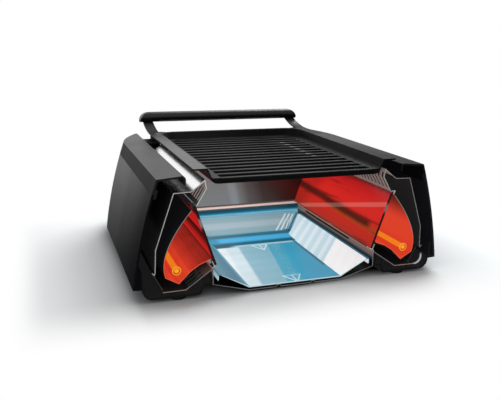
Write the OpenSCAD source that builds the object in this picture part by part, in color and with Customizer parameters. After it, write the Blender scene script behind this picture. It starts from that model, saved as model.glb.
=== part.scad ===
// Electric infrared indoor grill, sectioned across its width.
// The section plane is the XZ face on the -Y side. Everything in front of it is cut away.
// The drawing works in x from the middle, z above the table and y from the section plane.
// place() then shifts y, so that the origin is the bottom centre of the whole object.

/* [Outer shell] */
// Width across the skirts at the table side
body_w = 401; // [396:1:408]
// Radius of the barrel curve of the side walls, seen in the section
skin_r = 656; // [560:1:900]
// Height of the skirts' lower edge above the table
skirt_z = 18; // [16:0.5:20]
// Height of the pod tops at their inner edge
cap_z = 148; // [147:0.5:150]
// Height of the pod tops at their outer edge
cap_edge_z = 145.3; // [143:0.1:147]
// Distance of the pods' inner edge from the middle
cap_inner_x = 137.8; // [136:0.1:141]
// Height of the seam between cap and side panel
seam_z = 128.4; // [126:0.1:129]
// Wall thickness of the moulded shell
wall = 2.6; // [2:0.1:3]
// Depth from the section plane to the start of the rear corners
side_y = 246.5; // [244:0.5:247]
// Plan radius of the rear corners at the pods' top edge
corner_r = 120; // [112:1:128]
// Angle through which the large corner radius runs
corner_deg = 43; // [41:1:46]
// Plan radius that finishes the corner
tail_r = 24; // [20:1:30]
// Height of the rear deck between the pods
deck_z = 134; // [130:0.5:135]

/* [Steel housing] */
// Thickness of the folded steel
sheet = 1; // [0.8:0.1:1.2]
// Depth of the steel housing from the section plane
bay_y = 248; // [247:0.5:249]
// Distance between neighbouring louvres
louvre_pitch = 9; // [8:0.5:12]
// Width of a louvre slot
louvre_w = 5; // [3:0.5:6]
// Height of the pan floor's underside
pan_z = 2.2; // [2:0.1:2.6]
// Half width of the pan's well
pan_x = 107; // [106:0.5:107.5]
// Depth of the pan's well
pan_y = 243; // [241:0.5:244]

/* [Heaters] */
// Outer radius of the quartz tube
tube_r = 5.2; // [4:0.1:6]
// Wall thickness of the quartz tube
tube_wall = 1.3; // [1:0.1:1.6]
// Radius of the glowing element
element_r = 3; // [2:0.1:3.4]
// Distance of the tube from the middle
tube_x = 149.9; // [148:0.1:151]
// Height of the tube
tube_z = 36.8; // [36:0.1:38]
// Distance from the reflector's focus to its vertex
focal = 18.1; // [17.5:0.1:18.6]
// Direction in which the reflector's axis points, from +X
reflector_deg = 160; // [159:0.5:161]
// Thickness of the glass panes
glass_t = 3; // [2.5:0.1:3.2]

/* [Drip tray] */
// Half width of the tray's rim
tray_x = 100.8; // [99:0.1:101]
// Half width of the tray's floor
tray_floor_x = 61; // [56:0.5:66]
// Height of the tray's rim
tray_z = 26.5; // [25:0.5:28]
// Height of the tray's floor
tray_floor_z = 7.2; // [7:0.1:8]
// Wall thickness of the tray
tray_t = 1.4; // [1.2:0.1:1.6]
// Depth of the tray at its rim
tray_y = 238; // [234:0.5:239]
// Depth of the tray at its floor
tray_floor_y = 148; // [140:0.5:156]

/* [Grid] */
// Height of the side rails
rail_z = 155; // [154:0.5:157]
// Half width across the rails
rail_x = 129.4; // [128:0.1:131]
// Width of a rail
rail_w = 15.6; // [15:0.1:17]
// Thickness of the rails
rail_t = 2; // [1.8:0.1:2.4]
// Height of the rib tops
rib_z = 143.2; // [142:0.1:144]
// Height of a rib
rib_h = 6.8; // [6:0.1:7]
// Width of a rib
rib_w = 7; // [5:0.5:9]
// Distance between neighbouring ribs
rib_pitch = 19.1; // [18:0.1:19.3]
// Number of ribs, the cut one included
rib_count = 14; // [12:1:14]

/* [Handle] */
// Length of the grip
grip_l = 268; // [264:1:272]
// Radius of the grip
grip_r = 8.1; // [7.5:0.1:9]
// Depth from the section plane to the grip's middle
grip_y = 335; // [332:1:338]
// Height of the grip's middle
grip_z = 171.9; // [171:0.1:173]
// Radius of the arms' upward sweep
arm_r = 160; // [150:1:170]

/* [Feet and controls] */
// Radius of a rubber foot
foot_r = 10.5; // [8:0.5:12]
// Height of a rubber foot
foot_h = 4; // [3.8:0.1:4.2]
// Width of the switch rocker
rocker_w = 20; // [18:0.5:22]
// Radius of the hole through the cord inlet bush
inlet_r = 3.8; // [3:0.1:4.5]

/* [Hidden] */

skirt_x = body_w / 2;
// Centre of the barrel curve, placed so that it passes the skirt's lower edge
skin_cz = -64.5;
skin_cx = skirt_x - sqrt(pow(skin_r, 2) - pow(skirt_z - skin_cz, 2));
function skin_x(z, inset = 0) = skin_cx + sqrt(pow(skin_r - inset, 2) - pow(z - skin_cz, 2));
// Plan centre of the large rear corner, and of the small one that follows it
corner_x = skin_x(cap_edge_z) - corner_r;
tail_reach = corner_r - tail_r;
tail_x = corner_x + tail_reach * cos(corner_deg);
tail_y = side_y + tail_reach * sin(corner_deg);
total_d = tail_y + skirt_x - corner_x - tail_reach;
// Clearance between parts that are pushed or set together
gap = 0.2;
// Lip of the pods towards the grid
lip_z = 137.7;
// Return flange of the side panel, and the trough that starts inside it
flange_x = 190;
shell_x = 189.6;
shell_r = 12;
// Depth by which the rounded belly runs below the flat floor before it's cut
belly_dip = 1.5;
// Step by which the flat rear field lies behind the rounded corners
rear_step = 0.4;
// Upper outline of the steel jacket
peak = [115.8, 142.4];
louvre_bend = [113.9, 131.8];
louvre_low = [125.4, 112.3];
ridge_in = [131.9, 129.6];
ridge_out = [152.5, 129];
jacket_bend = [174.3, 63.5];
jacket_low = [175.4, 36.6];
// Outline of the pan's wings
wing_top = [pan_x + 0.8, 34.6];
wing_bend = [139.5, 12.6];
wing_end = [166.6, 12.4];
baffle_top = [176.2, 33.4];
baffle_y = 9;
// Inner face of the glass
glass_low = [101.8, 39.5];
glass_top = [126.2, 111.3];
clip_t = 0.8;
// Reflector below its parabola
focus = [145, 34.5];
reflector_tip = [147.5, 21.2];
reflector_knee = [133.5, 35];
reflector_step = [122.8, 42];
reflector_end = [108.7, 47.6];
axis_u = [cos(reflector_deg), sin(reflector_deg)];
axis_v = [axis_u[1], -axis_u[0]];
// Level of the tray's step
step_z = 11;
step_x = 68.4;
step_y = 190;
// Depth at which the grid's arms leave the straight rails
arm_y = 272;
// Inner edge of the rails
rail_in = rail_x - rail_w;
// Lower part of the grip, and the screws that hold the grip on the arms
insert_x = 103.6;
insert_z = 3.2;
screw_r = 1.9;
screw_deg = 22;
// Bars that carry the grid's arms
seat_y = 278;
seat_r = 6.4;
// Plan centre of the grid's rear corners
grid_cx = 90;
grid_cy = 253;
// Switch and cord inlet on the rear wall
switch_x = 78;
switch_z = 62;
rocker_tilt = 8;
bezel = [31.4, 23.4];
bezel_body = [25.4, 17.4];
lamp_x = switch_x + 24;
inlet_x = -84;
inlet_z = 40;
// Terminal block, and the leads that run to it
lead_r = 1.2;
lead_x = 18.75;
first_bend = 14;
last_bend = 4;
block_hole_z = foot_h + wall + 10;
far = 600;
smooth = 96;
fine = 360;

// ---- helpers ----

module place() {
  translate([0, -total_d / 2, 0]) children();
}

module left_hand() {
  mirror([1, 0, 0]) children();
}

module both_hands() {
  children();
  mirror([1, 0, 0]) children();
}

// Runs a section drawn in x and z along the depth
module along_y(y0, y1) {
  translate([0, y1, 0]) rotate([90, 0, 0]) linear_extrude(y1 - y0) children();
}

// Runs an outline drawn in y and z along the width
module along_x(x0, x1) {
  translate([x0, 0, 0]) rotate([90, 0, 90]) linear_extrude(x1 - x0) children();
}

module along_z(z0, z1) {
  translate([0, 0, z0]) linear_extrude(z1 - z0) children();
}

function unit(v) = v / norm(v);
function right_of(a, b) = [unit(b - a)[1], -unit(b - a)[0]];
function mitre(p, i, t) =
  i == 0 ? p[0] + t * right_of(p[0], p[1]) :
  i == len(p) - 1 ? p[i] + t * right_of(p[i - 1], p[i]) :
  p[i] + t * (right_of(p[i - 1], p[i]) + right_of(p[i], p[i + 1]))
    / (1 + right_of(p[i - 1], p[i]) * right_of(p[i], p[i + 1]));

// Folded sheet: the line p with a thickness t on its right-hand side
module folded(p, t) {
  polygon(concat(p, [for (i = [len(p) - 1:-1:0]) mitre(p, i, t)]));
}

function reversed(p) = [for (i = [len(p) - 1:-1:0]) p[i]];

// Points of the arc that rounds the corner a-p-b
function arc_corner(a, p, b, r, n = 5) =
  let (u = unit(a - p), v = unit(b - p), half = acos(u * v) / 2,
       c = p + unit(u + v) * r / sin(half),
       t0 = p + u * r / tan(half) - c, t1 = p + v * r / tan(half) - c)
  [for (i = [0:n]) c + r * unit((n - i) * t0 + i * t1)];

// The line p with corner i rounded by radii[i], or left sharp where that is 0
function rounded(p, radii) = [
  for (i = [0:len(p) - 1])
    each (radii[i] > 0 ? arc_corner(p[i - 1], p[i], p[i + 1], radii[i]) : [p[i]])
];

// ---- moulded shell ----

// Sweeps a section round the right side: straight, then the large corner
module round_side(y0, deg) {
  along_y(y0, side_y) children();
  corner(deg) children();
}

module corner(deg) {
  translate([corner_x, side_y, 0]) rotate_extrude(angle = deg, $fn = fine)
    translate([-corner_x, 0]) children();
}

// Outer surface between two heights, moved in by inset
function skin_line(inset, z0, z1, n = 12) = [
  for (i = [0:n]) let (z = z0 + (z1 - z0) * i / n) [skin_x(z, inset), z]
];

// Filled half section of the body between two heights, inset from the outer surface
module body_section(inset, x0, z0, z1) {
  polygon(concat([[x0, z0]], skin_line(inset, z0, z1), [[x0, z1]]));
}

module skin_section(z1) {
  polygon(concat(skin_line(0, skirt_z, z1), reversed(skin_line(wall, skirt_z, z1))));
}

module side_panel() {
  round_side(0, corner_deg) skin_section(seam_z - 0.3);
  // Return flange at the skirt and the rib that locates the trough
  along_y(0, side_y) polygon([
    [flange_x, skirt_z - 0.5], [skin_x(skirt_z) - 0.6, skirt_z], [skin_x(20) - 2, 20.4],
    [flange_x + 2, 20.4], [flange_x + 2, 39], [flange_x, 39]
  ]);
}

function cap_slope(x) = cap_z - (x - cap_inner_x - 3) * (cap_z - cap_edge_z) / 31;

// Cap's filled section down to z0, drawn a wall thickness t inside its outside
module cap_section(t, z0) {
  low_in = [cap_inner_x + t, z0];
  top_in = [cap_inner_x + t, cap_slope(cap_inner_x) - t];
  top_out = [skirt_x, cap_slope(skirt_x) - t];
  polygon(concat([low_in], arc_corner(low_in, top_in, top_out, 4.5 - t), [top_out, [skirt_x, z0]]));
}

module cap_solid(t, y0) {
  z0 = seam_z - t;
  intersection() {
    round_side(y0, corner_deg - t / 2) body_section(t, corner_x + 1, z0, cap_z + 2);
    along_y(y0, side_y + corner_r) cap_section(t, z0);
  }
}

module top_cap() {
  difference() {
    cap_solid(0, 0);
    cap_solid(wall, -1);
    translate([cap_inner_x - 1, -1, 0]) cube([wall + 2, far, lip_z]);
  }
  // Snap rail that hooks behind the side panel
  z1 = seam_z + 4.6;
  along_y(0, side_y) polygon([
    [skin_x(z1, wall) - 3.2, z1], [skin_x(z1, wall) + 0.6, z1],
    [skin_x(seam_z + 0.8, wall) + 0.6, seam_z + 0.8], [skin_x(seam_z, wall) - 0.7, seam_z],
    [skin_x(seam_z - 5, wall) - 0.6, seam_z - 5], [skin_x(seam_z - 5, wall) - 3.6, seam_z - 5]
  ]);
}

// Trough under each heater, as its outer line from the pan to the side panel
function trough() = rounded(
  [[pan_x + 1.2, 30.6], [pan_x + 1.2, 15.2], [117, 15.2], [121, foot_h],
   [shell_x, foot_h], [shell_x, 21]],
  [0, 0, 2, 5, shell_r, 0]);

module floor_shell() {
  along_y(0, bay_y) folded(reversed(trough()), wall);
  // Stiffening rib that carries the pan's wing
  along_y(0, bay_y) translate([156, foot_h + 1]) square([2, wing_end[1] - foot_h - 2.2]);
}

// Filled half section of the rear body, with the rounded belly below the skirt.
// It runs past the deck and the floor, which rear_body() cuts flat.
module rear_section(inset, trim, x0) {
  z0 = foot_h + inset - belly_dip;
  x1 = shell_x - inset - min(trim, rear_step);
  z1 = skirt_z + inset + 1;
  body_section(inset + trim, x0, skirt_z + inset, deck_z + 4);
  polygon(concat(
    [[x0, z0]], arc_corner([x0, z0], [x1, z0], [x1, z1], shell_r - inset + belly_dip), [[x1, z1], [x0, z1]]
  ));
}

// Whole rear body from depth y0 on, inset from its outer surface.
// Each part runs a little way into the next one, and the large corner lies behind the side panels.
module rear_body(inset, y0) {
  nest = wall + 0.3;
  core = 3;
  mid = 10;
  tail_ref = corner_x + tail_reach;
  intersection() {
    union() {
      both_hands() {
        corner(corner_deg + 2) rear_section(inset, nest, corner_x + core);
        translate([tail_x, tail_y, 0]) rotate([0, 0, corner_deg])
          rotate_extrude(angle = 90 - corner_deg, $fn = fine)
            translate([-tail_ref, 0]) rear_section(inset, 0, tail_ref + core);
      }
      translate([0, tail_y, 0]) along_x(-tail_x - 1, tail_x + 1)
        translate([-tail_ref, 0]) rear_section(inset, rear_step, tail_ref + core);
      along_z(foot_h - 1, deck_z + 2) polygon([
        [-corner_x - 60, side_y - 1], [corner_x + 60, side_y - 1],
        [tail_x + mid, tail_y + mid], [-tail_x - mid, tail_y + mid]
      ]);
    }
    translate([-far / 2, y0, foot_h + inset]) cube([far, far, deck_z - foot_h - 2 * inset]);
  }
}

// Depth of the rear wall's outer face at height z
function rear_y(z) = tail_y + skin_x(z, rear_step) - corner_x - tail_reach;

module rear_housing() {
  difference() {
    rear_body(0, bay_y + sheet + gap);
    difference() {
      rear_body(wall, side_y - 5);
      // Flat pads that carry the switch and the cord inlet
      translate([switch_x - 20, rear_y(switch_z + 16) - 13, switch_z - 16]) cube([40, 40, 32]);
      translate([inlet_x, rear_y(inlet_z) - 16, inlet_z]) rotate([-90, 0, 0]) cylinder(r = 11, h = 40, $fn = smooth);
    }
    translate([switch_x, rear_y(switch_z + 16) - 3, switch_z]) upright(bezel + [0.6, 0.6], 0, 40);
    translate([switch_x, rear_y(switch_z + 16) - 3, switch_z]) upright(bezel_body + [0.6, 0.6], -17, 40);
    translate([inlet_x, rear_y(inlet_z) - 20, inlet_z]) rotate([-90, 0, 0]) {
      cylinder(r = inlet_r + 3, h = 60, $fn = smooth);
      translate([0, 0, 18.8]) cylinder(r = inlet_r + 5.2, h = 40, $fn = smooth);
    }
    translate([lamp_x, rear_y(switch_z) - 20, switch_z]) rotate([-90, 0, 0]) cylinder(r = 3.1, h = 40, $fn = smooth);
    // Cooling slots under the deck's rear edge
    for (i = [-6:6]) {
      translate([i * 14 - 3, rear_y(110) - 20, 96]) cube([6, 40, 16]);
    }
  }
}

// Block centred in x and z that starts at depth y0
module upright(size, y0, depth) {
  translate([-size[0] / 2, y0, -size[1] / 2]) cube([size[0], depth, size[1]]);
}

module rubber_feet() {
  both_hands() {
    for (at = [[147, foot_r + 0.5], [132, 300]]) {
      translate([at[0], at[1], 0]) rotate_extrude($fn = smooth)
        polygon([[0, 0], [foot_r - 1, 0], [foot_r, 1], [foot_r, foot_h], [0, foot_h]]);
    }
  }
}

// Rounded bars on the deck, with the posts on which the grid's arms rest
module grid_seats() {
  post = 11;
  both_hands() {
    intersection() {
      along_x(rail_in, cap_inner_x - gap) translate([seat_y, deck_z + seat_r - 1]) circle(r = seat_r, $fn = smooth);
      translate([0, 0, deck_z]) cube([far, far, 20]);
    }
    translate([rail_in + 2, seat_y - 4, deck_z + 3]) cube([post, 8, rail_z - rail_t - 0.3 - deck_z - 3]);
  }
}

// ---- steel housing ----

// Well of the pan in the width, seen in the section, t inside its outside
module well_section(t) {
  bead = [19.5, 26.5];
  rise = 2.2;
  z = pan_z + t;
  half = [
    [bead[0], z], [bead[0] + rise - t / 2, z + rise], [bead[1] - rise + t / 2, z + rise], [bead[1], z],
    [61.5 - t / 4, z], [pan_x - t, 14.9 + t / 4], [pan_x - t, 34.6 + 2 * t]
  ];
  polygon(concat([for (p = reversed(half)) [-p[0], p[1]]], half));
}

module well(t) {
  intersection() {
    along_y(-1, pan_y + 10) well_section(t);
    along_x(-pan_x, pan_x) polygon([
      [-t, 40], [-t, pan_z - 1], [pan_y - 44, pan_z - 1], [pan_y - 44 + t, pan_z + t],
      [pan_y - t, 14.9 + t / 4], [pan_y - t, 40]
    ]);
  }
}

module pan_wing() {
  difference() {
    along_y(0, bay_y) folded([[pan_x - 1, 35], wing_top, wing_bend, wing_end], sheet);
    // Transverse air slots across the sloping part
    for (i = [0:26]) {
      translate([0, 1.5 + louvre_pitch * i, 0]) along_y(0, louvre_w)
        polygon([[118, 20], [118, 34], [136.5, 22], [136.5, 10]]);
    }
  }
  // Slanted baffle between the wing and the jacket, with air slots
  difference() {
    along_y(baffle_y, bay_y) folded([wing_end - [2, 0.4], baffle_top], sheet);
    for (i = [0:12]) {
      translate([172, baffle_y + 12 + 17.6 * i, 22]) rotate([0, -65, 0]) air_slot(10, 4);
    }
  }
}

// Slot with round ends that runs along x, cut through in z
module air_slot(length, width) {
  linear_extrude(8, center = true) {
    square([length - width, width], center = true);
    for (s = [-1, 1]) translate([s * (length - width) / 2, 0]) circle(d = width, $fn = 32);
  }
}

module base_pan() {
  difference() {
    intersection() {
      well(0);
      translate([-far / 2, 0, 0]) cube([far, far, 34.9]);
    }
    well(sheet);
    // Long slots in the upper edge of the well's side walls
    both_hands() translate([pan_x - 3, 66, 29.5]) cube([6, 146, 3.6]);
  }
  both_hands() pan_wing();
  // Lip that carries the rear wall
  along_x(-pan_x, pan_x) folded([[pan_y - sheet, 34.2], [pan_y + 0.5, 34.9], [bay_y - gap, 37.5]], sheet);
}

module rear_wall() {
  half = [
    [102.2, 37.4], [126.4, 112.2], louvre_low, louvre_bend + [0.3, 0], peak + [0.2, -0.4],
    [107, 136], [104, 134.5]
  ];
  along_y(bay_y, bay_y + sheet) polygon(concat([for (p = reversed(half)) [-p[0], p[1]]], half));
}

module steel_jacket() {
  line = [
    louvre_low, louvre_bend, peak, ridge_in, ridge_out, jacket_bend, jacket_low,
    jacket_low + [0.6, -1.4], jacket_low + [2.4, 0.6]
  ];
  difference() {
    along_y(0, bay_y) folded(line, sheet);
    for (i = [0:26]) {
      translate([0, 2.3 + louvre_pitch * i, 0]) along_y(0, louvre_w) polygon([
        [105, 117.5], [125, 117.5], [118.5, 131], [117.3, 138.2], [105, 138.2]
      ]);
    }
  }
}

module end_plate() {
  difference() {
    along_y(bay_y, bay_y + sheet) polygon([
      [105.6, 38.4], [129.6, 112.4], [132.4, 128.4], [151.6, 127.8], [173.2, 63.3], [174.2, 38],
      wing_end + [-0.4, 0.4], wing_bend + [0.4, 0.6], [108.6, 35.2]
    ]);
    translate([tube_x, bay_y - 1, tube_z]) rotate([-90, 0, 0]) cylinder(r = tube_r + 0.5, h = 4, $fn = smooth);
  }
}

// ---- heaters ----

// Point of the parabola at distance v from its axis
function parabola(v) = focus + axis_u * (v * v / (4 * focal) - focal) + axis_v * v;

module reflector() {
  curve = [for (i = [0:12]) parabola(1.5 + i * 62 / 12)];
  line = concat([reflector_end, reflector_step, reflector_knee, reflector_tip], curve);
  along_y(0, bay_y - gap) folded(line, 0.8);
}

module quartz_tube() {
  translate([tube_x, 0, tube_z]) rotate([-90, 0, 0]) difference() {
    cylinder(r = tube_r, h = bay_y + 12, $fn = smooth);
    translate([0, 0, -1]) cylinder(r = tube_r - tube_wall, h = bay_y + 20, $fn = smooth);
  }
}

module heating_element() {
  translate([tube_x, 0, tube_z]) rotate([-90, 0, 0])
    cylinder(r = element_r, h = bay_y + 20, $fn = smooth);
}

module tube_holder() {
  y0 = bay_y + sheet + gap;
  difference() {
    translate([tube_x - 11, y0, tube_z - 14]) cube([22, 14, 28]);
    translate([tube_x, y0 - 1, tube_z]) rotate([-90, 0, 0]) cylinder(r = tube_r + 0.1, h = 12, $fn = smooth);
    translate([tube_x, y0 - 1, tube_z]) rotate([-90, 0, 0]) cylinder(r = element_r + 0.1, h = 30, $fn = smooth);
  }
}

module glass() {
  along_y(0.4, bay_y - gap) folded([glass_low, glass_top], glass_t);
}

module glass_clips() {
  for (y = [0, 113, 226]) {
    along_y(y, y + 13) {
      folded([[130.4, 108.4], [132.6, 113.6], [127.2, 113.4]], -clip_t);
      folded([[107.9, 44.2], [105.9, 39.2], [105, 37.6], [107.4, 36.3]], clip_t);
    }
  }
}

// ---- controls ----

module cord_bush() {
  y = rear_y(inlet_z);
  translate([inlet_x, y - 21, inlet_z]) rotate([-90, 0, 0]) difference() {
    union() {
      cylinder(r = inlet_r + 2.8, h = 24, $fn = smooth);
      cylinder(r = inlet_r + 5, h = 2.8, $fn = smooth);
      translate([0, 0, 20]) cylinder(r = inlet_r + 5, h = 4, $fn = smooth);
    }
    translate([0, 0, -1]) cylinder(r = inlet_r, h = 40, $fn = smooth);
  }
}

module switch_frame() {
  y = rear_y(switch_z + 16) - 3;
  translate([switch_x, y, switch_z]) difference() {
    union() {
      upright(bezel, 0, 2.2);
      upright(bezel_body, -14, 15);
    }
    upright([rocker_w + 1, 14], -12, 30);
  }
}

module switch_rocker() {
  y = rear_y(switch_z + 16) - 3;
  translate([switch_x - rocker_w / 2, y - 4, switch_z]) rotate([90, 0, 90])
    linear_extrude(rocker_w) rotate(rocker_tilt) intersection() {
      circle(r = 6.6, $fn = smooth);
      polygon([[-4, -9], [7.2, -9], [5.4, 0], [7.2, 9], [-4, 9]]);
    }
}

module pilot_lamp() {
  translate([lamp_x, rear_y(switch_z) - 4.5, switch_z]) rotate([-90, 0, 0]) {
    cylinder(r = 2.9, h = 4, $fn = smooth);
    translate([0, 0, 4]) cylinder(r1 = 2.9, r2 = 1.6, h = 1.4, $fn = smooth);
  }
}

module terminal_block() {
  translate([-26, 290, foot_h + wall]) difference() {
    union() {
      cube([52, 20, 5]);
      for (i = [0:3]) translate([2 + 12.5 * i, 3, 4]) cube([10.5, 14, 11]);
    }
    for (i = [0:3]) {
      translate([7.25 + 12.5 * i, 2, 10]) rotate([-90, 0, 0]) cylinder(r = 2, h = 20, $fn = smooth);
      translate([7.25 + 12.5 * i, 10, 10]) cylinder(r = 1.8, h = 10, $fn = smooth);
    }
  }
}

// Lead from each heating element along the floor and into the terminal block
module element_leads() {
  y0 = bay_y + 20.2;
  drop = tube_z - block_hole_z - first_bend;
  both_hands() {
    translate([tube_x, y0, tube_z]) {
      lead_run([-90, 0, 0], 6);
      translate([0, 6, -first_bend]) rotate([90, 0, 90]) lead_bend(first_bend);
    }
    translate([tube_x - drop, y0 + 6 + first_bend, block_hole_z + drop]) rotate([-90, 0, 0]) lead_bend(drop);
    translate([lead_x + last_bend, y0 + 6 + first_bend, block_hole_z])
      lead_run([0, 90, 0], tube_x - drop - lead_x - last_bend);
    translate([lead_x + last_bend, y0 + 6 + first_bend + last_bend, block_hole_z])
      rotate([0, 0, 180]) lead_bend(last_bend);
    translate([lead_x, y0 + 6 + first_bend + last_bend, block_hole_z]) lead_run([-90, 0, 0], 2);
  }
}

module lead_run(turn, length) {
  rotate(turn) cylinder(r = lead_r, h = length, $fn = smooth);
}

module lead_bend(radius) {
  rotate_extrude(angle = 90, $fn = smooth) translate([radius, 0]) circle(r = lead_r, $fn = smooth);
}

// ---- drip tray ----

module rounded_plan(x, y, r, z) {
  translate([-x, 0, z]) cube([2 * x, 1, 0.1]);
  both_hands() translate([x - r, y - r, z]) cylinder(r = r, h = 0.1, $fn = 48);
}

// Basin as two stacked lofts, drawn a wall thickness t outside its inside
module basin(t) {
  z0 = tray_floor_z - t;
  rim = tray_x - tray_t - 1;
  hull() {
    rounded_plan(tray_floor_x + t / 3, tray_floor_y + t / 3, 5 + t, z0);
    rounded_plan(step_x + t / 2, step_y + t / 2, 10 + t, step_z - t / 2);
  }
  hull() {
    rounded_plan(step_x + t / 2, step_y + t / 2, 10 + t, step_z - t / 2);
    rounded_plan(rim + t / 2, tray_y - 4 + t / 2, 24 + t, tray_z);
  }
}

module drip_tray() {
  difference() {
    union() {
      basin(tray_t);
      // Rim that hooks down inside the well
      rim_band(tray_z - 1.2, tray_x - 3.2);
      rim_band(tray_z - 7, tray_x - 1.2);
      // Lifting tab
      translate([-19, tray_y - 3, tray_z - 1.2]) cube([16, 6.6, 1.3]);
    }
    basin(0);
    translate([-far / 2, -2, -1]) cube([far, 2, 60]);
    translate([-far / 2, -2, tray_z + 0.1]) cube([far, far, 10]);
  }
  tray_flutes();
  intersection() {
    for (y = [8, 129]) translate([2, y, tray_floor_z - 0.2]) floor_mark();
    translate([-far / 2, 0, 0]) cube([far, far, far]);
  }
}

// Raised triangle on the tray's floor that points to the front
module floor_mark() {
  size = 13;
  linear_extrude(0.6) difference() {
    polygon([[-size, 12], [size, 12], [0, -12]]);
    polygon([[-size + 3, 10.4], [size - 3, 10.4], [0, -7.6]]);
  }
  linear_extrude(0.6) polygon([[-0.7, -9], [0.7, -9], [0.7, 11], [-0.7, 11]]);
}

module rim_band(z, inner) {
  r = 26;
  shift = tray_x - inner;
  along_z(z, tray_z + 0.1) difference() {
    rim_outline(tray_x, tray_y, r);
    translate([0, -1]) rim_outline(inner, tray_y + 1 - shift, r - shift);
  }
}

module rim_outline(x, y, r) {
  translate([-x, 0]) square([2 * x, y - r]);
  translate([r - x, 0]) square([2 * (x - r), y]);
  for (s = [-1, 1]) translate([s * (x - r), y - r]) circle(r = r, $fn = smooth);
}

// Rods that stiffen the rounded rear corners
module tray_flutes() {
  rim = tray_x - tray_t - 1;
  both_hands() {
    for (a = [18:18:72]) {
      rod(
        [step_x - 10 + 9.6 * cos(a), step_y - 10 + 9.6 * sin(a), step_z + 0.4],
        [rim - 24 + 23 * cos(a), tray_y - 28 + 23 * sin(a), tray_z - 1], 1.1);
    }
  }
}

module rod(a, b, r) {
  d = b - a;
  translate(a) rotate([0, acos(d[2] / norm(d)), atan2(d[1], d[0])]) cylinder(r = r, h = norm(d), $fn = 24);
}

// ---- grid ----

// Wall of the grid from the rib field up to the rim, as seen in the section
module grid_wall_section() {
  z0 = rib_z - rib_h;
  polygon(concat(
    [[97, z0]],
    arc_corner([97, z0], [106.6, z0 + 0.8], [rail_in - 0.4, rail_z - rail_t], 7),
    [[rail_in - 0.3, rail_z - rail_t], [rail_in + 6, rail_z - rail_t], [rail_in + 6, rail_z], [rail_in - 1, rail_z]],
    arc_corner([rail_in - 1.2, rail_z], [107.8, rib_z], [97, rib_z], 4),
    [[97, rib_z]]
  ));
}

module grid_frame() {
  both_hands() {
    along_y(0, grid_cy) grid_wall_section();
    translate([grid_cx, grid_cy, 0]) rotate_extrude(angle = 90, $fn = smooth)
      translate([-grid_cx, 0]) grid_wall_section();
    // Straight rail, then the arm that sweeps up to the grip
    translate([rail_in, 0, rail_z - rail_t]) cube([rail_w, arm_y, rail_t]);
    difference() {
      along_x(rail_in, rail_x) arm_section();
      on_arm() cylinder(r = screw_r + 0.3, h = 10, center = true, $fn = smooth);
    }
    // Gusset between the arm and the rear rim
    along_z(rail_z - rail_t, rail_z) polygon([
      [grid_cx + 9, grid_cy + 26], [rail_in + 1, arm_y - 4], [rail_in + 1, arm_y + 14], [rail_in, arm_y + 14]
    ]);
  }
  translate([0, grid_cy, 0]) along_x(-grid_cx, grid_cx) translate([-grid_cx, 0]) grid_wall_section();
}

module arm_section() {
  intersection() {
    translate([arm_y, rail_z + arm_r]) difference() {
      circle(r = arm_r + rail_t, $fn = fine);
      circle(r = arm_r, $fn = fine);
    }
    translate([arm_y, rail_z - rail_t - 1]) square([grip_y + 3 - arm_y, 30]);
  }
}

// Underside of the right arm at the grip's screw, with z square to the arm
module on_arm() {
  translate([rail_x - rail_w / 2, arm_y, rail_z + arm_r]) rotate([screw_deg, 0, 0])
    translate([0, 0, -arm_r - rail_t]) children();
}

module rib_section() {
  z0 = rib_z - rib_h;
  polygon(concat(
    [[1, z0]], [[0.3, rib_z - 2]],
    arc_corner([0.3, rib_z - 2], [0, rib_z], [rib_w, rib_z], 1.6),
    arc_corner([0, rib_z], [rib_w, rib_z], [rib_w - 0.3, rib_z - 2], 1.6),
    [[rib_w - 0.3, rib_z - 2], [rib_w - 1, z0]]
  ));
}

module grill_grid() {
  grid_frame();
  for (i = [0:rib_count - 1]) {
    along_x(-98, 98) translate([i * rib_pitch, 0]) rib_section();
  }
}

// ---- handle ----

module grip_body() {
  intersection() {
    along_x(-grip_l / 2, grip_l / 2) difference() {
      translate([grip_y, grip_z]) circle(r = grip_r, $fn = smooth);
      translate([grip_y - 20, grip_z - 20 - grip_r + 0.6]) square([40, 20]);
    }
    along_y(grip_y - 20, grip_y + 20) grip_outline();
  }
}

// Grip seen from the front, with its upper corners rounded
module grip_outline() {
  x = grip_l / 2;
  z0 = grip_z - grip_r;
  z1 = grip_z + grip_r;
  polygon(concat(
    arc_corner([-x, z0], [-x, z1], [x, z1], 15.9, 12),
    arc_corner([-x, z1], [x, z1], [x, z0], 15.9, 12)
  ));
}

module handle_grip() {
  difference() {
    grip_body();
    grip_lower(0);
    // Seats of the two arms
    both_hands() {
      along_x(rail_in - 0.1, rail_x + 0.1) difference() {
        translate([grip_y - 20, 150]) square([23.2, 40]);
        translate([arm_y, rail_z + arm_r]) circle(r = arm_r, $fn = fine);
      }
      on_arm() cylinder(r = screw_r + 0.2, h = rail_t + 6, $fn = smooth);
    }
  }
}

// Lower part of the grip between the arms
module grip_lower(clear) {
  z = grip_z - grip_r - 1;
  translate([-insert_x - clear, grip_y - 20, z]) cube([2 * insert_x + 2 * clear, 40, insert_z + 1]);
}

module handle_insert() {
  intersection() {
    grip_body();
    grip_lower(0);
  }
}

module handle_screws() {
  both_hands() on_arm() {
    difference() {
      translate([0, 0, -1.8]) cylinder(r = 3.2, h = 1.8, $fn = smooth);
      // Cross recess
      for (a = [0, 90]) rotate(a) translate([-2, -0.4, -2.8]) cube([4, 0.8, 2]);
    }
    translate([0, 0, -0.4]) cylinder(r = screw_r, h = rail_t + 5.4, $fn = smooth);
  }
}

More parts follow.
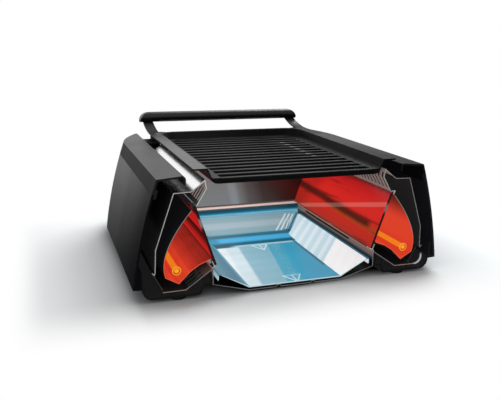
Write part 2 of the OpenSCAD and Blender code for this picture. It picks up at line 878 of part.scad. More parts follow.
place() color("#2b2b2d") side_panel();  // right_side_panel
place() color("#2b2b2d") left_hand() side_panel();  // left_side_panel
place() color("#3a3a3c") top_cap();  // right_top_cap
place() color("#3a3a3c") left_hand() top_cap();  // left_top_cap
place() color("#1c1c1d") floor_shell();  // right_floor_shell
place() color("#1c1c1d") left_hand() floor_shell();  // left_floor_shell
place() color("#222224") rear_housing();
place() color("#101010") rubber_feet();
place() color("#202022") grid_seats();
place() color("#8a8078") base_pan();
place() color("#909090") rear_wall();
place() color("#b4b4b6") steel_jacket();  // right_steel_jacket
place() color("#b4b4b6") left_hand() steel_jacket();  // left_steel_jacket
place() color("#1a1a1a") end_plate();  // right_end_plate
place() color("#1a1a1a") left_hand() end_plate();  // left_end_plate
place() color("#d8402a") reflector();  // right_reflector
place() color("#d8402a") left_hand() reflector();  // left_reflector
place() color("#f0b020") quartz_tube();  // right_quartz_tube
place() color("#f0b020") left_hand() quartz_tube();  // left_quartz_tube
place() color("#e87818") heating_element();  // right_heating_element
place() color("#e87818") left_hand() heating_element();  // left_heating_element
place() color("#e8e4dc") tube_holder();  // right_tube_holder
place() color("#e8e4dc") left_hand() tube_holder();  // left_tube_holder
place() color("#c83020", 0.6) glass();  // right_glass
place() color("#c83020", 0.6) left_hand() glass();  // left_glass
place() color("#c8c8c8") glass_clips();  // right_glass_clips
place() color("#c8c8c8") left_hand() glass_clips();  // left_glass_clips
place() color("#181818") cord_bush();
place() color("#181818") switch_frame();
place() color("#181818") switch_rocker();
place() color("#e06018") pilot_lamp();
place() color("#e8e4dc") terminal_block();
place() color("#d8d0c0") element_leads();
place() color("#4aa8d0", 0.8) drip_tray();
place() color("#161617") grill_grid();
place() color("#1d1d1e") handle_grip();
place() color("#6b6b6d") handle_insert();
place() color("#c8c8c8") handle_screws();
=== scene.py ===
"""Finishes and studio for an electric infrared grill that is cut across its width."""

import math

import bmesh
import bpy
from mathutils import Matrix, Vector


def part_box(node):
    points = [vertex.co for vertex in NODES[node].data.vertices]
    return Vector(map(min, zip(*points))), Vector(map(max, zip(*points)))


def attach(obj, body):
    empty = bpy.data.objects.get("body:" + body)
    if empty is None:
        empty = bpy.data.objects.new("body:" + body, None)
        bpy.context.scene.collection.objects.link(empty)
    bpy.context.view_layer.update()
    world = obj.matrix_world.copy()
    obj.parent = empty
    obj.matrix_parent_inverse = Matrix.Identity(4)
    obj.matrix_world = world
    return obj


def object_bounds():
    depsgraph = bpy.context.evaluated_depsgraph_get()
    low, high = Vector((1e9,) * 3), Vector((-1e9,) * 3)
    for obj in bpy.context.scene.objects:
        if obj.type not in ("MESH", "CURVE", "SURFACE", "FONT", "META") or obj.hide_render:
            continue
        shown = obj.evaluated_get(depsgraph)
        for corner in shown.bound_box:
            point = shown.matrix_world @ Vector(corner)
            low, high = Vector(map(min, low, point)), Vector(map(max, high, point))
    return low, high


bl_info = {
    "name": "Infrared Grill Section",
    "version": (1, 0, 0),
    "blender": (4, 5, 0),
    "location": "View3D > Sidebar > Grill",
    "description": "Finishes, heater windings and studio for a grill shown in section",
    "category": "Object",
}

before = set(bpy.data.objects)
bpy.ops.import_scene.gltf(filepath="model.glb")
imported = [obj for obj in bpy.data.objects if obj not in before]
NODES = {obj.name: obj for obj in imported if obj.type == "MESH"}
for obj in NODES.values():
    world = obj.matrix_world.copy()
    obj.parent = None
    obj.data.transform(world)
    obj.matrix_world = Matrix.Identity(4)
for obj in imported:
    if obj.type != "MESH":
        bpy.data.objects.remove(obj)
CAD_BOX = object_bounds()
CUT_Y = CAD_BOX[0][1]
HOUSING = "housing"
SIDES = ("left", "right")
MM = 0.001
FULL_TURN = 2 * math.pi
ROLLED = (900.0, 20.0, 900.0)  # frequency of a rolled sheet's grain along x, y and z
SATIN = 1500.0  # frequency of a satin moulding's grain
# Painted glow: an emission colour that lifts the deepest shade on satin mouldings
PAINTED_GLOW_IN_SHADE = (0.9, 0.9, 1.2)  # the faint light that is left on a satin moulding in the deepest shade
TRAY_FLOOR = 7.2 * MM  # height of the drip tray's floor
TRAY_WALL = 19.3 * MM  # height of its walls above that


# ---- sizes and colours that a user would change ----


class GrillFinish(bpy.types.PropertyGroup):
    panel: bpy.props.FloatVectorProperty(
        name="Side panels", description="Colour of the moulded side panels",
        default=(0.007, 0.007, 0.0078), size=3, subtype="COLOR", min=0, max=1)
    cap: bpy.props.FloatVectorProperty(
        name="Top caps", description="Colour of the caps on the two pods",
        default=(0.016, 0.016, 0.0172), size=3, subtype="COLOR", min=0, max=1)
    inner: bpy.props.FloatVectorProperty(
        name="Inner mouldings", description="Colour of the mouldings inside and below",
        default=(0.004, 0.004, 0.0043), size=3, subtype="COLOR", min=0, max=1)
    steel: bpy.props.FloatVectorProperty(
        name="Steel", description="Colour of the bright folded steel",
        default=(0.95, 0.95, 0.955), size=3, subtype="COLOR", min=0, max=1)
    tray: bpy.props.FloatVectorProperty(
        name="Drip tray", description="Deepest blue of the drip tray's floor",
        default=(0.034, 0.36, 0.555), size=3, subtype="COLOR", min=0, max=1)
    grid: bpy.props.FloatVectorProperty(
        name="Grid coating", description="Colour of the coated grid",
        default=(0.0045, 0.0045, 0.005), size=3, subtype="COLOR", min=0, max=1)
    # The heaters' light on the reflectors is painted in as a glow of this colour
    glow: bpy.props.FloatVectorProperty(
        name="Glow", description="Colour of the heaters' light on the reflectors",
        default=(0.69, 0.050, 0.022), size=3, subtype="COLOR", min=0, max=1)


class GrillHeater(bpy.types.PropertyGroup):
    turns: bpy.props.IntProperty(
        name="Turns", description="Turns of resistance wire on each element",
        default=64, min=10, max=120)
    wire: bpy.props.FloatProperty(
        name="Wire radius", description="Radius of the resistance wire",
        default=0.32 * MM, min=0.1 * MM, max=0.5 * MM, unit="LENGTH", precision=5)
    winding: bpy.props.FloatProperty(
        name="Winding radius", description="Radius from the tube's axis to the wire's middle",
        default=3.3 * MM, min=2 * MM, max=3.6 * MM, unit="LENGTH", precision=5)


class GrillStudio(bpy.types.PropertyGroup):
    key: bpy.props.FloatProperty(
        name="Overhead light", description="Power of the large softbox above the right rear",
        default=36.0, min=0, max=100, unit="POWER")
    front: bpy.props.FloatProperty(
        name="Front light", description="Power of the softbox in front of the section",
        default=4.0, min=0, max=100, unit="POWER")
    tray: bpy.props.FloatProperty(
        name="Inner light", description="Power of the small softbox under the grid",
        default=0.16, min=0, max=10, unit="POWER")
    lens: bpy.props.FloatProperty(
        name="Lens", description="Focal length of the camera in millimetres",
        default=44.74, min=20, max=120)


# ---- nodes ----


class Output:
    """An output of a node. Arithmetic on it adds Math nodes to its tree."""

    def __init__(self, socket):
        self.socket = socket
        self.tree = socket.id_data

    def __add__(self, other):
        return maths("ADD", self, other)

    def __sub__(self, other):
        return maths("SUBTRACT", self, other)

    def __rsub__(self, other):
        return maths("SUBTRACT", other, self)

    def __mul__(self, other):
        return maths("MULTIPLY", self, other)

    def __truediv__(self, other):
        return maths("DIVIDE", self, other)

    def __abs__(self):
        return maths("ABSOLUTE", self)

    __radd__ = __add__
    __rmul__ = __mul__


def new_tree(name):
    mat = bpy.data.materials.new(name)
    mat.use_nodes = True
    tree = mat.node_tree
    tree.nodes.clear()
    return mat, tree


def rgba(colour):
    """A colour, or a grey that is given by one number, with its alpha."""
    if isinstance(colour, float):
        colour = (colour, colour, colour)
    return (*tuple(colour)[:3], 1.0)


def connect(made, inputs):
    """Gives a node's inputs their links or values."""
    for key, value in inputs.items():
        socket = made.inputs[key]
        if isinstance(value, Output):
            made.id_data.links.new(value.socket, socket)
        elif socket.type == "RGBA":
            socket.default_value = rgba(value)
        elif socket.type == "VECTOR":
            socket.default_value = tuple(value)
        else:
            socket.default_value = value


def node(tree, kind, inputs=None, **settings):
    """Adds a node. Its settings come before its inputs, because they decide which it has."""
    made = tree.nodes.new(kind)
    for key, value in settings.items():
        setattr(made, key, value)
    connect(made, inputs or {})
    return made


def result(tree, kind, inputs=None, out=0, **settings):
    """Adds a node and returns one of its outputs."""
    return Output(node(tree, kind, inputs, **settings).outputs[out])


def outputs_of(made):
    return {socket.name: Output(socket) for socket in made.outputs}


def maths(operation, *values):
    tree = next(value.tree for value in values if isinstance(value, Output))
    return result(tree, "ShaderNodeMath", dict(enumerate(values)), operation=operation)


def larger(a, b):
    return maths("MAXIMUM", a, b)


def step(value, low, high):
    """Runs smoothly from 0 to 1 while the value goes from low to high."""
    return result(
        value.tree, "ShaderNodeMapRange", {0: value, 1: low, 2: high},
        interpolation_type="SMOOTHSTEP")


def between(value, low, high, soft):
    """1 where the value lies between low and high, with edges softened by soft."""
    return step(value, low - soft, low + soft) - step(value, high - soft, high + soft)


def wave(value, length):
    """Runs from 1 at value 0 to -1 and back, once in every length."""
    return maths("COSINE", value * (FULL_TURN / length))


def blend(factor, under, over):
    """The colour under, with the colour over laid on it by the factor."""
    return result(factor.tree, "ShaderNodeMix", {0: factor, 6: under, 7: over}, out=2, data_type="RGBA")


def scaled(colour, factor):
    """The colour, made brighter or darker by the factor."""
    tree = (factor if isinstance(factor, Output) else colour).tree
    return result(tree, "ShaderNodeVectorMath", {0: colour, 3: factor}, operation="SCALE")


def ramp(value, stops):
    """A colour that runs through the stops as the value goes from 0 to 1."""
    made = node(value.tree, "ShaderNodeValToRGB", {0: value})
    band = made.color_ramp
    while len(band.elements) < len(stops):
        band.elements.new(0.5)
    for element, (place, colour) in zip(band.elements, stops):
        element.position = place
        element.color = rgba(colour)
    return Output(made.outputs[0])


def noise(place, scale, detail, roughness=0.5):
    return result(place.tree, "ShaderNodeTexNoise", {
        "Vector": place, "Scale": scale, "Detail": detail, "Roughness": roughness})


def bump(height, strength):
    return result(height.tree, "ShaderNodeBump", {
        "Strength": strength, "Distance": 0.1 * MM, "Height": height})


# ---- places on a piece ----


def object_place(tree):
    return result(tree, "ShaderNodeTexCoord", out="Object")


def split(vector):
    """x, y and z of a vector."""
    return [Output(out) for out in node(vector.tree, "ShaderNodeSeparateXYZ", {0: vector}).outputs]


def object_xyz(tree):
    return split(object_place(tree))


def facing(tree):
    """x, y and z of the way that the surface faces, before any bump."""
    return split(result(tree, "ShaderNodeNewGeometry", out="True Normal"))


def stretched(place, frequencies):
    return result(place.tree, "ShaderNodeVectorMath", {0: place, 1: frequencies}, operation="MULTIPLY")


def on_left(x):
    return step(x, 10 * MM, -10 * MM)


def on_right(x):
    return step(x, -10 * MM, 10 * MM)


def middle(name):
    """Middle of a node's box."""
    return [(a + b) / 2 for a, b in zip(*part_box(name))]


def from_tube(x, z):
    """Distance from the axis of the nearer tube."""
    tube_x, _, tube_z = middle("right_heating_element")
    away_x = abs(x) - tube_x
    away_z = z - tube_z
    return maths("SQRT", away_x * away_x + away_z * away_z)


# ---- surface effects that several finishes share ----


def group(name, inputs, outputs):
    """Starts a node group. Returns its tree, its inputs by name and its output node."""
    tree = bpy.data.node_groups.new(name, "ShaderNodeTree")
    for label, default in inputs.items():
        kind = "NodeSocketVector" if isinstance(default, tuple) else "NodeSocketFloat"
        socket = tree.interface.new_socket(name=label, in_out="INPUT", socket_type=kind)
        socket.default_value = default
    for label in outputs:
        tree.interface.new_socket(name=label, in_out="OUTPUT", socket_type="NodeSocketFloat")
    return tree, outputs_of(tree.nodes.new("NodeGroupInput")), tree.nodes.new("NodeGroupOutput")


def build_moulded_grain():
    """Fine spark texture of a moulded part, with the faint clouding of handled plastic."""
    tree, given, leave = group(
        "Moulded Grain", {"Scale": 1600.0, "Clouding": 0.06}, ("Height", "Roughness", "Shade"))
    place = object_place(tree)
    fine = noise(place, given["Scale"], 3.0)
    cells = result(
        tree, "ShaderNodeTexVoronoi", {"Vector": place, "Scale": given["Scale"]}, feature="SMOOTH_F1")
    swing = (noise(place, 14.0, 4.0, 0.6) - 0.5) * given["Clouding"]
    connect(leave, {"Height": cells * 0.5 + fine, "Roughness": swing, "Shade": swing + 1.0})


def build_brushed_sheet():
    """Rolling lines of brushed sheet; Stretch holds the grain's frequency along each axis."""
    tree, given, leave = group(
        "Brushed Sheet", {"Stretch": ROLLED, "Contrast": 0.2}, ("Height", "Roughness", "Shade"))
    place = object_place(tree)
    lines = noise(stretched(place, given["Stretch"]), 1.0, 4.0, 0.7)
    blotches = noise(place, 22.0, 3.0)
    swing = ((blotches - 0.5) * 0.6 + (lines - 0.5)) * given["Contrast"]
    connect(leave, {"Height": lines, "Roughness": swing, "Shade": swing + 1.0})


def build_cut_face():
    """1 on the sawn face of the section, and on the strip of the given width behind it."""
    tree, given, leave = group("Cut Face", {"Width": 0.6 * MM}, ("Mask",))
    depth = object_xyz(tree)[1]
    connect(leave, {"Mask": maths("LESS_THAN", depth, given["Width"] + CUT_Y)})


def use(tree, name, **values):
    """Places a node group and returns its outputs by name."""
    made = tree.nodes.new("ShaderNodeGroup")
    made.node_tree = bpy.data.node_groups[name]
    connect(made, values)
    return outputs_of(made)


def grained(tree, scale, relief, clouding=0.12):
    """Shade, roughness and normal of a moulded skin."""
    grain = use(tree, "Moulded Grain", Scale=scale, Clouding=clouding)
    return grain["Shade"], grain["Roughness"], bump(grain["Height"], relief)


def brushed(tree, stretch=ROLLED, contrast=0.25):
    """Shade, roughness and height of brushed sheet."""
    grain = use(tree, "Brushed Sheet", Stretch=stretch, Contrast=contrast)
    return grain["Shade"], grain["Roughness"], grain["Height"]


def cut_face(tree, width):
    return use(tree, "Cut Face", Width=width)["Mask"]


def surface(tree, inputs):
    shader = result(tree, "ShaderNodeBsdfPrincipled", inputs)
    node(tree, "ShaderNodeOutputMaterial", {0: shader})


def moulded(name, colour, roughness, grain, relief, level):
    """A plain moulded part; level is how strongly it reflects."""
    mat, tree = new_tree(name)
    shade, rough, normal = grained(tree, grain, relief)
    surface(tree, {
        "Base Color": scaled(colour, shade), "Roughness": rough + roughness,
        "Specular IOR Level": level, "Normal": normal})
    return mat


def sheet_metal(name, colour, roughness):
    """Brushed steel with a bright sawn edge."""
    mat, tree = new_tree(name)
    shade, rough, height = brushed(tree)
    cut = cut_face(tree, 0.6 * MM)
    surface(tree, {
        "Base Color": blend(cut, scaled(colour, shade), 0.85), "Metallic": 1.0 - cut,
        "Roughness": larger(rough + roughness, cut * 0.6), "Normal": bump(height, 0.06)})
    return mat


def finish_node(name, mat):
    target = NODES[name]
    target.data.materials.clear()
    target.data.materials.append(mat)


def finish_pair(name, mat):
    for side in SIDES:
        finish_node(side + "_" + name, mat)


# ---- pieces ----


class GRILL_OT_shells(bpy.types.Operator):
    """Gives the moulded shells, the feet and the grid's seats their finishes"""

    bl_idname = "grill.shells"
    bl_label = "Shells and Feet"

    def execute(self, context):
        look = context.scene.grill_finish
        finish_pair("side_panel", self.panel_finish(look.panel))
        finish_node("left_top_cap", self.cap_finish("satin charcoal cap", look.cap, 0.25))
        # The right cap is a shaded copy of the left: weaker gloss, and painted shade in its finish
        finish_node("right_top_cap", self.cap_finish("shaded charcoal cap", look.cap, 0.06))
        finish_pair("floor_shell", self.floor_finish(look.inner))
        finish_node("rear_housing", moulded(
            "charcoal rear moulding", look.panel, roughness=0.44, grain=1300.0, relief=0.08, level=0.36))
        finish_node("rubber_feet", moulded(
            "black rubber", look.inner, roughness=0.75, grain=900.0, relief=0.2, level=0.2))
        finish_node("grid_seats", moulded(
            "black seat moulding", look.inner, roughness=0.45, grain=1100.0, relief=0.1, level=0.4))
        finish_node("cord_bush", moulded(
            "black bush rubber", look.inner, roughness=0.7, grain=900.0, relief=0.2, level=0.3))
        return {"FINISHED"}

    def panel_finish(self, colour):
        """Satin charcoal; painted light on the left panel falls off towards the section."""
        mat, tree = new_tree("satin charcoal panel")
        x, y, _ = object_xyz(tree)
        shade, rough, normal = grained(tree, SATIN, 0.05)
        # Painted light on the left panel, and a faint painted glow on both panels
        falling = ramp((y - CUT_Y) / 0.22, [
            (0.0, 0.04), (0.09, 0.06), (0.21, 0.13), (0.45, 0.36), (0.60, 0.48), (0.72, 0.84), (0.95, 1.0)])
        left = on_left(x)
        light = falling * 2.6 * left + (1.0 - left)
        surface(tree, {
            "Base Color": scaled(scaled(colour, shade), light), "Specular IOR Level": light * 0.36,
            "Roughness": rough + 0.40, "Normal": normal,
            "Emission Color": PAINTED_GLOW_IN_SHADE, "Emission Strength": 0.003})
        return mat

    def floor_finish(self, colour):
        """Black where it is cut, and a faint painted glow makes the ribs and walls inside a little lighter.
        """
        mat, tree = new_tree("black floor moulding")
        x, y, z = object_xyz(tree)
        shade, rough, normal = grained(tree, 1100.0, 0.12)
        inside = step(z, 0.05, 0.012) * 0.006 + 0.003
        # A painted glint round the right shell's inner corner, a little behind the section
        painted_glint = between(y - CUT_Y, 0.0105, 0.0140, 0.0010) * step(x, 0.173, 0.179) * step(z, 0.0215, 0.0175)
        cut = cut_face(tree, 0.2 * MM)
        surface(tree, {
            "Base Color": scaled(colour, shade), "Specular IOR Level": 0.2,
            "Roughness": rough + 0.5, "Normal": normal, "Emission Color": (0.97, 0.97, 1.03),
            "Emission Strength": (painted_glint * 0.42 + inside) * (1.0 - cut * 0.75)})
        return mat

    def cap_finish(self, name, colour, gloss):
        """Satin on top and dull on the side face; the right cap has painted light and shade: lighter
        further back, and dark on its side face towards the middle.
        """
        mat, tree = new_tree(name)
        x, y, _ = object_xyz(tree)
        facing_x, _, facing_up = facing(tree)
        shade, rough, normal = grained(tree, SATIN, 0.05)
        right = on_right(x)
        light = right * (step(y - CUT_Y, 0.01, 0.22) * 1.05 - 0.50) + 1.0
        light = light * (1.0 - right * step(facing_x, -0.3, -0.6) * 0.9)
        level = step(facing_up, 0.5, 0.8) * (gloss - 0.02) + 0.02
        surface(tree, {
            "Base Color": scaled(scaled(colour, shade), light), "Specular IOR Level": light * level,
            "Roughness": rough + 0.38, "Normal": normal,
            "Emission Color": PAINTED_GLOW_IN_SHADE, "Emission Strength": 0.0015})
        return mat


class GRILL_OT_steelwork(bpy.types.Operator):
    """Gives the folded steel housing its brushed and sawn surfaces, with painted light, shade and
    reflections
    """

    bl_idname = "grill.steelwork"
    bl_label = "Steel Housing"

    def execute(self, context):
        finish_node("base_pan", self.pan_steel())
        finish_node("rear_wall", self.rear_steel())
        finish_pair("steel_jacket", self.jacket_steel(context.scene.grill_finish.steel))
        finish_pair("end_plate", sheet_metal("dark end plate steel", (0.03, 0.028, 0.028), 0.5))
        finish_pair("glass_clips", self.clip_steel())
        finish_node("handle_screws", sheet_metal("plated screw steel", (0.5, 0.5, 0.5), 0.3))
        return {"FINISHED"}

    def clip_steel(self):
        """Spring steel; the left pair of upper clips is painted dark as the cap's shade."""
        mat, tree = new_tree("spring steel")
        x, _, z = object_xyz(tree)
        shade, _, _ = brushed(tree)
        tone = blend(on_left(x) * step(z, 0.07, 0.09), 0.75, (0.05, 0.035, 0.03))
        cut = cut_face(tree, 0.6 * MM)
        surface(tree, {
            "Base Color": scaled(tone, shade), "Metallic": 1.0 - cut, "Roughness": cut * 0.3 + 0.25})
        return mat

    def pan_steel(self):
        """Burnished steel: dark in the well as painted shade, and copper-tinted on its upper edges, where
        it also has a painted glow.
        """
        mat, tree = new_tree("burnished pan steel")
        x, y, z = object_xyz(tree)
        across = abs(x)
        behind = y - CUT_Y
        in_well = step(across, 0.1084, 0.1076)
        height = (z - 0.02) / 0.02
        # Side walls, lit by a painted glow: painted shade low down, brown steel above, copper-tinted at the
        # rounded rim
        side = ramp(height, [
            (0.20, (0.022, 0.014, 0.013)), (0.34, (0.034, 0.024, 0.021)), (0.42, (0.11, 0.088, 0.077)),
            (0.55, (0.165, 0.115, 0.108)), (0.65, (0.11, 0.065, 0.052)), (0.72, (0.34, 0.17, 0.14)),
            (0.76, (0.22, 0.075, 0.055))])
        upper = step(across, 0.1052, 0.1056) * step(z, 0.023, 0.024)
        # The polished rear wall of the well has a painted reflection of the blue tray; the lip above it is
        # a bright painted highlight
        mirrored = ramp(height, [
            (0.26, (0.20, 0.40, 0.49)), (0.32, (0.19, 0.41, 0.50)), (0.37, (0.050, 0.31, 0.49)),
            (0.455, (0.001, 0.125, 0.22)), (0.54, (0.001, 0.058, 0.105)), (0.62, (0.001, 0.036, 0.058)),
            (0.74, (0.001, 0.040, 0.058)), (0.79, (0.03, 0.06, 0.07)), (0.81, (0.50, 0.37, 0.335)),
            (0.90, (0.60, 0.47, 0.43))])
        rear = step(behind, 0.2385, 0.2405) * step(z, 0.020, 0.022)
        flange = between(across, 0.1080, 0.1260, 0.0004) * step(z, 0.0225, 0.0245)
        flange = flange * step(facing(tree)[2], 0.2, 0.4)
        # Painted shade: the steel is much darker inside the well than outside it
        tone = blend(in_well, (0.20, 0.195, 0.19), (0.02, 0.02, 0.021))
        tone = blend(flange, tone, (0.30, 0.17, 0.14))
        tone = blend(upper * in_well, tone, side)
        tone = blend(rear * step(across, 0.1058, 0.1052), tone, mirrored)
        # Sawn edge: grey, and copper-tinted on the flat foot outside the well
        foot = step(z, 0.0150, 0.0142) * step(across, 0.125, 0.13)
        sawn = blend(foot, 0.27, (0.50, 0.33, 0.29))
        cut = cut_face(tree, 0.3 * MM)
        shade, rough, _ = brushed(tree)
        painted = blend(cut, scaled(tone, shade), sawn)
        # Painted glow on the side and rear walls of the well
        lit = larger(upper, rear) * in_well
        plain = larger(lit, larger(flange, cut))
        surface(tree, {
            "Base Color": painted, "Metallic": (1.0 - plain) * 0.9, "Roughness": rough + 0.36,
            "Emission Color": painted, "Emission Strength": lit * 0.6 * (1.0 - cut)})
        return mat

    def jacket_steel(self, colour):
        """Bright on the upper slope; elsewhere painted light and shade: a brownish painted glow on the
        louvres, and painted black shade inside and low down.
        """
        mat, tree = new_tree("bright jacket steel")
        x, _, z = object_xyz(tree)
        upward = facing(tree)[2]
        high = step(z, 0.104, 0.116)
        bright = high * step(upward, 0.42, 0.55)
        louvre = step(abs(x), 0.1262, 0.1250) * high * step(upward, 0.42, 0.34)
        tone = blend(louvre, (0.008, 0.0075, 0.0078), (0.25, 0.18, 0.16))
        tone = blend(bright, tone, colour)
        sawn = blend(on_right(x), 0.55, 0.26)
        cut = cut_face(tree, 0.3 * MM)
        shade, rough, _ = brushed(tree, (1400.0, 14.0, 1400.0), 0.12)
        painted = blend(cut, scaled(tone, shade), sawn)
        # A painted glow makes it a little lighter behind the right reflector, and on the left jacket's
        # outer wall
        lighter = step(x, 0.13, 0.14) + step(x, -0.165, -0.17) * 0.4
        lighter = lighter * step(upward, 0.40, 0.30) * (1.0 - cut)
        matt = larger(cut, 1.0 - bright)
        surface(tree, {
            "Base Color": painted, "Metallic": (bright * 0.9 + 0.1) * (1.0 - cut),
            "Roughness": larger(rough + 0.2, matt * 0.6),
            "Emission Color": painted, "Emission Strength": lighter * 1.2 + louvre * 0.35})
        return mat

    def rear_steel(self):
        """Satin steel, darker and reddish-brown towards the right as painted shade and a painted reflection
        of the red glow, with a pale painted slanting sheen.
        """
        mat, tree = new_tree("satin rear steel")
        x, _, z = object_xyz(tree)
        shade, rough, _ = brushed(tree, (12.0, 900.0, 1400.0), 0.12)
        across = z * 0.25 + x
        tone = ramp(across * 4.0 + 0.5, [
            (0.0, (0.45, 0.385, 0.35)), (0.46, (0.44, 0.375, 0.345)), (0.56, (0.40, 0.345, 0.315)),
            (0.64, (0.17, 0.135, 0.125)), (0.74, (0.085, 0.055, 0.048)), (1.0, (0.10, 0.032, 0.026))])
        sheen = between(across, 0.004, 0.017, 0.004)
        tone = blend(sheen * 0.5, tone, (0.55, 0.54, 0.53))
        # The foot of the wall: painted shade as a dark gap above the bright lip, whose brightness is a
        # painted glow
        foot = ramp((z - 0.036) / 0.008, [
            (0.0, (0.56, 0.43, 0.39)), (0.30, (0.56, 0.43, 0.39)), (0.42, (0.08, 0.055, 0.05)),
            (0.62, (0.07, 0.05, 0.045))])
        at_foot = step(z, 0.0420, 0.0408)
        tone = blend(at_foot, tone, foot)
        surface(tree, {
            "Base Color": scaled(tone, shade), "Metallic": 0.75 - at_foot * 0.7, "Roughness": rough + 0.34,
            "Emission Color": tone, "Emission Strength": at_foot * 0.5})
        return mat


class GRILL_OT_heaters(bpy.types.Operator):
    """Builds the heater windings and gives reflectors, tubes, holders and leads their finishes"""

    bl_idname = "grill.heaters"
    bl_label = "Heaters"

    def execute(self, context):
        finish_pair("reflector", self.reflector(context.scene.grill_finish.glow))
        finish_pair("quartz_tube", self.quartz())
        finish_pair("heating_element", self.element())
        ceramic = moulded(
            "unglazed ceramic", (0.62, 0.6, 0.55), roughness=0.7, grain=1200.0, relief=0.1, level=0.3)
        finish_pair("tube_holder", ceramic)
        finish_node("terminal_block", ceramic)
        finish_node("element_leads", moulded(
            "glass fibre sleeve", (0.55, 0.53, 0.48), roughness=0.8, grain=2400.0, relief=0.4, level=0.2))
        tree = self.winding_tree()
        wire = self.hot_wire()
        for side in SIDES:
            self.wind(tree, side, context.scene.grill_heater, wire)
        return {"FINISHED"}

    def reflector(self, glow):
        """Painted glow of the tube's light on the faces towards it, and nearly black painted shade on the
        others.
        """
        mat, tree = new_tree("heated reflector")
        x, _, z = object_xyz(tree)
        away = from_tube(x, z) / 0.08
        lit = ramp(away, [
            (0.0, (0.60, 0.024, 0.012)), (0.10, (0.62, 0.028, 0.014)), (0.19, glow),
            (0.38, (0.67, 0.048, 0.023)), (0.46, (0.57, 0.040, 0.022)), (0.55, (0.42, 0.030, 0.020)),
            (0.64, (0.27, 0.021, 0.014)), (0.75, (0.12, 0.010, 0.008)), (0.88, (0.04, 0.005, 0.005))])
        # The left one's painted glow is dimmer, with streaks along its depth
        dimmer = ramp(away, [
            (0.0, (0.76, 0.058, 0.020)), (0.15, (0.66, 0.043, 0.018)), (0.32, (0.38, 0.023, 0.014)),
            (0.50, (0.24, 0.017, 0.011)), (0.66, (0.13, 0.011, 0.009))])
        streaks, _, _ = brushed(tree, (330.0, 3.0, 150.0), 1.2)
        lit = blend(on_left(x), lit, scaled(dimmer, streaks))
        inward = self.faces_food(tree, x, z)
        lit = blend(inward, (0.0032, 0.0032, 0.0038), lit)
        # The sawn edge is grey above and takes up the glow low down
        sawn = blend(step(z, 0.045, 0.065), (0.72, 0.10, 0.045), (0.20, 0.18, 0.17))
        lit = blend(cut_face(tree, 0.2 * MM), lit, sawn)
        surface(tree, {
            "Base Color": blend(inward, (0.012, 0.011, 0.011), (0.03, 0.003, 0.002)),
            "Roughness": 0.4, "Specular IOR Level": 0.15, "Emission Color": lit, "Emission Strength": 0.97})
        return mat

    def faces_food(self, tree, x, z):
        """1 on the faces that look towards a line just inwards of the tube and above it."""
        tube_x, _, tube_z = middle("right_heating_element")
        facing_x, _, facing_up = facing(tree)
        to_x = maths("SIGN", x) * (tube_x - 6 * MM) - x
        to_z = (tube_z + 12 * MM) - z
        return maths("GREATER_THAN", to_x * facing_x + to_z * facing_up, 0.0)

    def quartz(self):
        """Red-lit tube; the skin of its sawn end is yellow."""
        mat, tree = new_tree("lit quartz")
        x, _, z = object_xyz(tree)
        red = (0.64, 0.030, 0.012)
        skin = step(from_tube(x, z), 4.3 * MM, 4.7 * MM)
        cut = cut_face(tree, 0.3 * MM)
        shade, _, _ = brushed(tree, (300.0, 5.0, 300.0), 0.3)
        lit = blend(cut, scaled(red, shade), blend(skin, red, (0.86, 0.55, 0.022)))
        surface(tree, {
            "Base Color": (0.05, 0.01, 0.004), "Roughness": 0.2, "Specular IOR Level": 0.05,
            "Emission Color": lit, "Emission Strength": 1.0, "Alpha": larger(cut, 0.25)})
        return mat

    def element(self):
        """Amber-hot core with a red skin round its sawn end."""
        mat, tree = new_tree("glowing element")
        x, _, z = object_xyz(tree)
        shade = use(tree, "Moulded Grain", Scale=900.0, Clouding=0.4)["Shade"]
        skin = cut_face(tree, 0.3 * MM) * step(from_tube(x, z), 2.2 * MM, 2.7 * MM)
        surface(tree, {
            "Base Color": (0.05, 0.02, 0.004), "Roughness": 0.6, "Emission Strength": 1.0,
            "Emission Color": blend(skin, scaled((0.90, 0.37, 0.009), shade), (0.66, 0.05, 0.013))})
        return mat

    def hot_wire(self):
        mat, tree = new_tree("glowing winding wire")
        shade = use(tree, "Moulded Grain", Scale=700.0, Clouding=0.3)["Shade"]
        surface(tree, {
            "Base Color": (0.1, 0.03, 0.01), "Roughness": 0.5,
            "Emission Color": scaled((0.84, 0.26, 0.010), shade), "Emission Strength": 1.0})
        return mat

    def winding_tree(self):
        """A helix of wire along y, from Start backwards."""
        tree = bpy.data.node_groups.new("Winding", "GeometryNodeTree")
        for label, kind in (("Turns", "Float"), ("Winding Radius", "Float"), ("Wire Radius", "Float"),
                            ("Length", "Float"), ("Start", "Vector"), ("Finish", "Material")):
            tree.interface.new_socket(name=label, in_out="INPUT", socket_type="NodeSocket" + kind)
        tree.interface.new_socket(name="Geometry", in_out="OUTPUT", socket_type="NodeSocketGeometry")
        given = outputs_of(tree.nodes.new("NodeGroupInput"))
        helix = result(tree, "GeometryNodeCurveSpiral", {
            "Resolution": 14, "Rotations": given["Turns"], "Start Radius": given["Winding Radius"],
            "End Radius": given["Winding Radius"], "Height": given["Length"]})
        profile = result(tree, "GeometryNodeCurvePrimitiveCircle", {
            "Resolution": 6, "Radius": given["Wire Radius"]})
        wire = result(tree, "GeometryNodeCurveToMesh", {
            "Curve": helix, "Profile Curve": profile, "Fill Caps": True})
        laid = result(tree, "GeometryNodeTransform", {
            "Geometry": wire, "Translation": given["Start"], "Rotation": (-math.pi / 2, 0, 0)})
        real = result(tree, "GeometryNodeRealizeInstances", {0: laid})
        done = result(tree, "GeometryNodeSetMaterial", {"Geometry": real, "Material": given["Finish"]})
        node(tree, "NodeGroupOutput", {"Geometry": done})
        return tree

